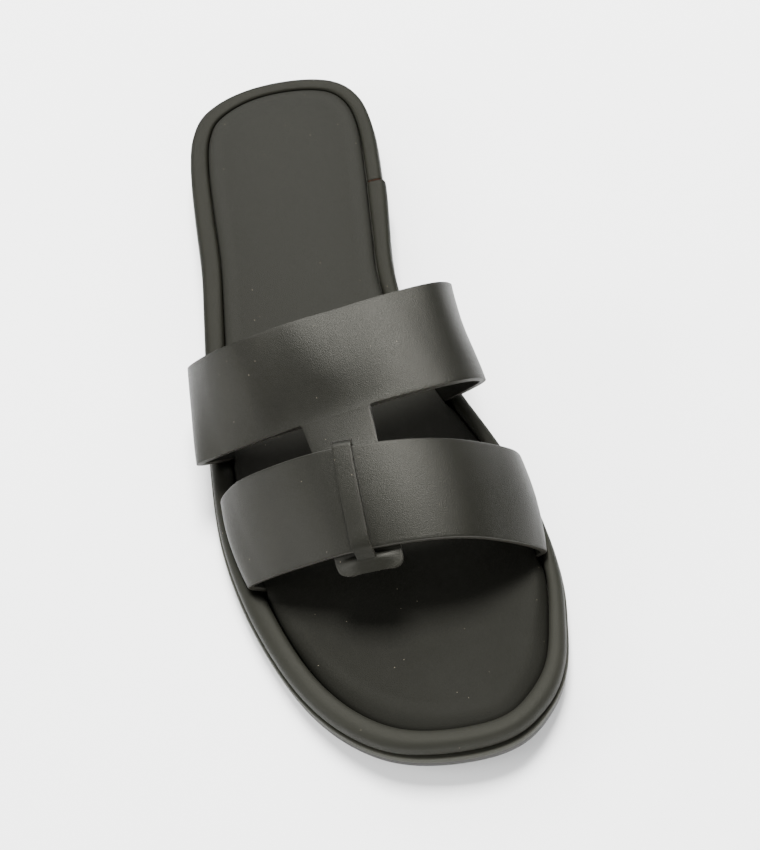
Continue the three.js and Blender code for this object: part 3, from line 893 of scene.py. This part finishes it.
# How much the instep strap lies lower than its plain arch: in a dip behind the tab that leaves its
# front edge, and less so along a soft ridge that runs from there to the outer end of its back edge
def sagOf(place, slope, v):
    s = keeper
    behind = v * widthOf(instepStrap)
    beside = abs(place.x - tabRoot(0).x) - s["tabWidth"] / 2
    within = 1 - smoothStep(beside, -s["dipInside"], s["dipSpread"])
    dip = slope * behind * exp(-behind / s["dipLength"]) * within
    ridge = onStrap(instepStrap, mix(s["ridgeFront"], s["ridgeBack"], v), v)
    aside = (place.x - ridge.x) / s["ridgeHalf"]
    return dip - s["ridgeHeight"] * exp(-aside * aside) * smoothStep(v, 0, s["ridgeGrows"])


def makeInstepStrap():
    bm = bmesh.new()
    s = keeper
    columns, rows = s["outerColumns"] + s["columns"] + s["innerColumns"], strapMesh["rows"]
    column = bm.verts.layers.int.new("column")
    half = (s["tabWidth"] / 2 + s["fillet"]) / spanOf(instepStrap)
    left, right = (shareAcross(instepStrap, s["tabAcross"] + side * half, 0) for side in (-1, 1))

    def shareOf(c):
        if c <= s["outerColumns"]:
            return left * c / s["outerColumns"]
        if c <= s["outerColumns"] + s["columns"]:
            return mix(left, right, (c - s["outerColumns"]) / s["columns"])
        return mix(right, 1, (c - s["outerColumns"] - s["columns"]) / s["innerColumns"])

    @lru_cache(maxsize=None)
    def stationOn(c, w):
        line, reach = strapLine(instepStrap, w)[:2]
        return alongLine(line, reach, shareOf(c))

    front = []
    for v in bmesh.ops.create_grid(bm, x_segments=columns, y_segments=rows, size=1)["verts"]:
        c, w = round((v.co.x + 1) / 2 * columns), (v.co.y + 1) / 2
        v[column] = c
        place = stationOn(c, w).copy()
        rise = stationOn(c, s["slopeOver"]).z - stationOn(c, 0).z
        place.z -= sagOf(place, rise / (s["slopeOver"] * widthOf(instepStrap)), w)
        v.co = onMetres(place)
        if round(w * rows) == 0:
            front.append(v)
    first, last = s["outerColumns"], s["outerColumns"] + s["columns"]
    inTab = {v for v in front if first <= v[column] <= last}
    edges = [e for e in bm.edges if set(e.verts) <= inTab]
    lines = {over: [smoothLine(keeperLine(k, over), s["steps"])[0] for k in range(s["columns"] + 1)]
             for over in (False, True)}
    rowOf = bm.verts.layers.int.new("keeperRow")
    for r in range(1, len(lines[False][0])):
        edges = growRing(bm, edges, column, lambda c: onMetres(lines[False][c - first][r]))
        for v in {v for e in edges for v in e.verts}:
            v[rowOf] = r
    # two slits free the strip, which is then lifted over the toe strap
    slitStart, slitEnd = (row * s["steps"] for row in s["slitRows"])
    sides = [first + c for c in s["stripColumns"]]
    slits = [e for e in bm.edges if e.verts[0][column] == e.verts[1][column]
             and all(v[column] in sides and slitStart <= v[rowOf] <= slitEnd for v in e.verts)]
    bmesh.ops.split_edges(bm, edges=slits)
    for v in bm.verts:
        if slitStart < v[rowOf] < slitEnd and sides[0] <= v[column] <= sides[1]:
            beside = [w[column] for f in v.link_faces for w in f.verts]
            if sides[0] < sum(beside) / len(beside) < sides[1]:
                v.co = onMetres(lines[True][v[column] - first][v[rowOf]])
                v[rowOf] = -v[rowOf]
    bm.verts.index_update()
    thinFrom, thinTo = s["thinFrom"] * s["steps"], s["thinTo"] * s["steps"]
    thickness = [(v.index, 1 - smoothStep(abs(v[rowOf]), thinFrom, thinTo)) for v in bm.verts]
    # not merged, which would close the slits again
    piece = pieceFrom("instep_strap", bm, [strapHide, cutEdge], "upper", merged=False)
    full = piece.vertex_groups.new(name="full wall")
    for index, weight in thickness:
        full.add([index], weight, "REPLACE")
    strapFinish(piece, "full wall")
    return piece


instepStrapPiece = makeInstepStrap()
print("instep strap and keeper made")


# The middle surface of a strap, to press the rim and the footbed clear of it
def surfaceOf(piece):
    mesh = piece.data
    corners = [v.co.copy() for v in mesh.vertices]
    return BVHTree.FromPolygons(corners, [list(p.vertices) for p in mesh.polygons])


strapSurfaces = [surfaceOf(toeStrapPiece), surfaceOf(instepStrapPiece)]
pressing = {"reach": 1.25, "soft": 3.5, "look": 6.0, "smoothing": 0.5}


# Moves soft material off the straps, outward of them with side 1 and inward with side -1
def pressClear(bm, side):
    reach = pressing["reach"] * 0.001
    # smoothed after the first time only, so that the second leaves them clear
    for smoothAfter in (True, False):
        touched = []
        for v in bm.verts:
            for tree in strapSurfaces:
                place, normal = tree.find_nearest(v.co, pressing["look"] * 0.001)[:2]
                if place is None:
                    continue
                offset = v.co - place
                height = offset.dot(normal)
                beside = (offset - normal * height).length * 1000
                weight = 1 - smoothStep(beside, 0, pressing["soft"])
                if height * side < reach and weight > 0:
                    v.co += normal * (side * reach - height) * weight
                    touched.append(v)
        if smoothAfter:
            bmesh.ops.smooth_vert(bm, verts=touched, factor=pressing["smoothing"],
                                  use_axis_x=True, use_axis_y=True, use_axis_z=True)


# Rim: hide rolled over a soft cord, its two cut ends butted on the inner side of the heel
rimShape = {
    "crevice": soleEdge["rimCrevice"],
    "width": soleEdge["rimWidth"],
    "height": 5.4,
    "seamAlong": 0.792,
    "seamGap": 0.5,
    # the cut ends are drawn in a little round their rims, over these depths
    "endRows": (0, 0.25, 0.6),
    "endShrink": 0.07,
    # one end stands out past the other by this much, and runs back in
    "step": 1.2,
    "stepFrom": 3,
    "stepTo": 30,
    "sectionSteps": 28,
    "cornerSteps": 10,
    # middle of the section, out and up as shares
    "heart": (0.5, 0.45),
    # out and up of the section, as shares of width and height: rolled at the toe, flat at the heel
    "toeSection": [(0.04, 0), (0, 0.2), (-0.02, 0.72), (0.03, 0.88), (0.15, 0.97), (0.42, 1),
                   (0.7, 0.95), (0.9, 0.8), (1, 0.5), (1.02, 0.14), (0.98, 0)],
    "heelSection": [(0.02, 0), (0, 0.2), (-0.05, 0.74), (-0.03, 0.81), (0.03, 0.85), (0.4, 0.92),
                    (0.78, 0.93), (0.95, 0.84), (1.02, 0.6), (1.02, 0.14), (0.97, 0)],
    "flatFrom": 0.4,
    "flatTo": 0.72,
    # the roll is narrower round the tip of the toe
    "tipNarrow": 0.08,
    "tipEnds": 0.03,
    # the crevice stands a little open along the inner side of the heel
    "open": 0.4,
    "openFrom": 0.66,
    "openTo": 0.84,
    "openSoft": 0.08,
    # there the roll also leans out over the band
    "leanOut": 0.5,
}


def makeRim():
    bm = bmesh.new()
    turn = bm.verts.layers.float.new("turn")
    s = rimShape
    sections = []
    for name in ("toeSection", "heelSection"):
        corners = [Vector((a * s["width"], b * s["height"], 0)) for a, b in s[name]]
        sections.append(smoothLine(corners, s["cornerSteps"]))

    @lru_cache(maxsize=None)
    def sectionAt(t, k):
        loop, reach = sections[k]
        foot = (loop[0] - loop[-1]).length
        share = t / (2 * pi) * (reach[-1] + foot)
        if share <= reach[-1]:
            return alongLine(loop, reach, share / reach[-1])
        return loop[-1].lerp(loop[0], (share - reach[-1]) / foot)

    seam = 2 * pi - turnAt(s["seamAlong"])
    perMillimetre = 1 / (footbed["length"] / 2) / sin(turnAt(s["seamAlong"]))
    start = seam + s["seamGap"] / 2 * perMillimetre
    end = seam + 2 * pi - s["seamGap"] / 2 * perMillimetre
    ends = [depth * perMillimetre for depth in s["endRows"]]
    count = footbed["outlineSteps"]
    turns = [start + e for e in ends] + [mix(start, end, i / count) for i in range(1, count)]
    turns += [end - e for e in reversed(ends)]
    centre = Vector((s["width"] * s["heart"][0], s["height"] * s["heart"][1], 0))

    def row(at):
        fromStart, fromEnd = (at - start) / perMillimetre, (end - at) / perMillimetre
        near = min(fromStart, fromEnd)
        scale = 1 - s["endShrink"] * (1 - min(near / s["endRows"][-1], 1)) ** 2
        out = s["step"] * (1 - smoothStep(fromStart, s["stepFrom"], s["stepTo"]))
        flat = smoothStep(alongAt(at), s["flatFrom"], s["flatTo"])
        narrow = 1 - s["tipNarrow"] * (1 - smoothStep(alongAt(at), 0, s["tipEnds"]))
        onInner = at % (2 * pi) > pi
        atSeam = bump(alongAt(at), s["openFrom"], s["openTo"], s["openSoft"]) if onInner else 0

        def place(t):
            c = centre.lerp(sectionAt(t, 0).lerp(sectionAt(t, 1), flat), scale)
            c.x *= narrow
            inner = 1 - clamp(c.x / s["width"])
            apart = atSeam * mix(s["leanOut"], s["open"], inner)
            p = edgePoint(at, s["crevice"] + c.x + out * (1 - inner) + apart)
            return onMetres((p.x, p.y, deckAt(p.y) + stack["seatGap"] + c.y))
        return place

    edges = ringFrom(bm, s["sectionSteps"], turn, row(turns[0]))
    caps = list(bmesh.ops.contextual_create(bm, geom=edges)["faces"])
    edges = growRows(bm, edges, turn, [row(at) for at in turns[1:]])
    caps += bmesh.ops.contextual_create(bm, geom=edges)["faces"]
    for face in caps:
        face.material_index = 1
    pressClear(bm, 1)
    piece = pieceFrom("rim_roll", bm, [rimHide, rawEdge], "rim")


makeRim()
print("rim made")

# Footbed pad: hide drawn over foam, with a rounded shoulder that is broadest at the toe
padShape = {
    "edgeHeight": 4.6,
    "crown": 1.5,
    "crownPower": 2.2,
    # the shoulder is this much broader at the toe: fully up to the first share of the length, and
    # no more from the second
    "toeShoulder": 2.4,
    "broadTo": 0.03,
    "broadEnds": 0.16,
    # at the toe the edge is pulled this much lower, so that the pad looks puffed, and less so
    # further along and further in
    "toePull": 1.2,
    "pullTo": 0.12,
    "pullEnds": 0.3,
    "pullInset": (-0.2, 2.6),
    # rows of the shoulder above this share of the height are broad and pulled
    "sideUp": 0.3,
    # inset and share of the height
    "shoulder": [(0.5, 0), (0.1, 0.06), (-0.15, 0.2), (-0.22, 0.6), (-0.17, 0.77), (0.04, 0.89),
                 (0.5, 0.97), (1.4, 1.02), (2.6, 1.07)],
    "underside": [2.5, 5, 7.5, 10, 12],
    "nested": [0.94, 0.86, 0.76, 0.65, 0.53, 0.41, 0.29, 0.18, 0.08, 0],
    "nestedBelow": [0.6, 0.3, 0],
    "shrinkBelow": 0.97,
}


def makePad():
    bm = bmesh.new()
    turn = bm.verts.layers.float.new("turn")
    s = padShape
    base = deckHeight + stack["seatGap"]

    def broad(t):
        return mix(s["toeShoulder"], 1, smoothStep(alongAt(t), s["broadTo"], s["broadEnds"]))

    def row(inset, up):
        atSide = up > s["sideUp"]
        atEdge = 1 - smoothStep(inset, *s["pullInset"])

        def place(t):
            p = edgePoint(t, -inset * (broad(t) if atSide else 1))
            atToe = 1 - smoothStep(alongAt(t), s["pullTo"], s["pullEnds"])
            pulled = s["toePull"] * atToe * atEdge if atSide else 0
            return onMetres((p.x, p.y, soleRise(p.y) + base + up * s["edgeHeight"] - pulled))
        return place

    def nested(share, up):
        lastInset = s["shoulder"][-1][0]

        def inner(t):
            return edgePoint(t, -lastInset * broad(t))
        return nestedRow(inner, share, base + up)

    def crowned(share):
        return s["edgeHeight"] + s["crown"] * (1 - share ** s["crownPower"])

    def flat(t):
        return edgePoint(t, -s["underside"][-1])

    rows = s["shoulder"]
    first = ringFrom(bm, footbed["outlineSteps"], turn, row(*rows[0]))
    over = [row(*r) for r in rows[1:]] + [nested(share, crowned(share)) for share in s["nested"]]
    growRows(bm, first, turn, over)
    under = [row(inset, 0) for inset in s["underside"]]
    under += [nestedRow(flat, share, base, s["shrinkBelow"]) for share in s["nestedBelow"]]
    growRows(bm, first, turn, under)
    pressClear(bm, -1)
    piece = pieceFrom("footbed_pad", bm, [footbedHide], "insole")


makePad()
print("footbed pad made")

# Pale floor and soft studio light
floorShape = {"size": 4, "segments": 8, "below": 0.0001}


def makeFloor():
    bm = bmesh.new()
    segments = floorShape["segments"]
    bmesh.ops.create_grid(bm, x_segments=segments, y_segments=segments, size=floorShape["size"])
    for v in bm.verts:
        v.co.z = -floorShape["below"]
    mesh = bpy.data.meshes.new("floor")
    bm.to_mesh(mesh)
    bm.free()
    floor = bpy.data.objects.new("floor", mesh)
    bpy.context.scene.collection.objects.link(floor)
    mesh.materials.append(sweep)
    floor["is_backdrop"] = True


makeFloor()
print("floor made")

lights = [
    # name, place, aim, size, watts
    ("overhead softbox", (0.24, 0.6, 1.55), (0, 0, 0), 0.6, 112),
    ("rear softbox", (-0.1, 1.7, 1.2), (0, 0, 0.02), 1.3, 48),
    ("left softbox", (-1.6, 0.1, 0.65), (0, 0, 0.02), 1.0, 34),
    ("front fill", (0.1, -1.6, 0.3), (0, 0, 0.02), 1.0, 50),
]


def makeLight(name, place, aim, size, watts):
    data = bpy.data.lights.new(name, "AREA")
    data.shape, data.size, data.energy = "SQUARE", size, watts
    light = bpy.data.objects.new(name, data)
    light.location = place
    light.rotation_euler = (Vector(aim) - Vector(place)).to_track_quat("-Z", "Y").to_euler()
    bpy.context.scene.collection.objects.link(light)


for light in lights:
    makeLight(*light)
world = bpy.data.worlds.new("studio")
world.use_nodes = True
world.node_tree.nodes["Background"].inputs["Color"].default_value = (0.95, 0.97, 1.0, 1)
world.node_tree.nodes["Background"].inputs["Strength"].default_value = 0.78
bpy.context.scene.world = world

# The photograph's viewpoint, turned to look at the shoe, with its roll kept
viewpoint = {
    "place": (-0.02352, -0.31192, 0.44558),
    "aim": (0.00966, -0.02148, 0.015),
    "roll": -11.3,
    "lens": 73,
}
cameraData = bpy.data.cameras.new("camera")
cameraData.sensor_width, cameraData.lens = 36, viewpoint["lens"]
cameraData.clip_start, cameraData.clip_end = 0.01, 20
camera = bpy.data.objects.new("camera", cameraData)
bpy.context.scene.collection.objects.link(camera)
camera.location = viewpoint["place"]
track = (Vector(viewpoint["aim"]) - camera.location).to_track_quat("-Z", "Y")
camera.rotation_mode = "QUATERNION"
camera.rotation_quaternion = track @ Quaternion((0, 0, 1), radians(viewpoint["roll"]))
bpy.context.scene.camera = camera
print("camera and lights set")

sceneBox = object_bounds()
for name, box in (("cad", cadBox), ("visual", sceneBox)):
    print("size in mm,", name, [round((b - a) * 1000, 1) for a, b in zip(*box)])
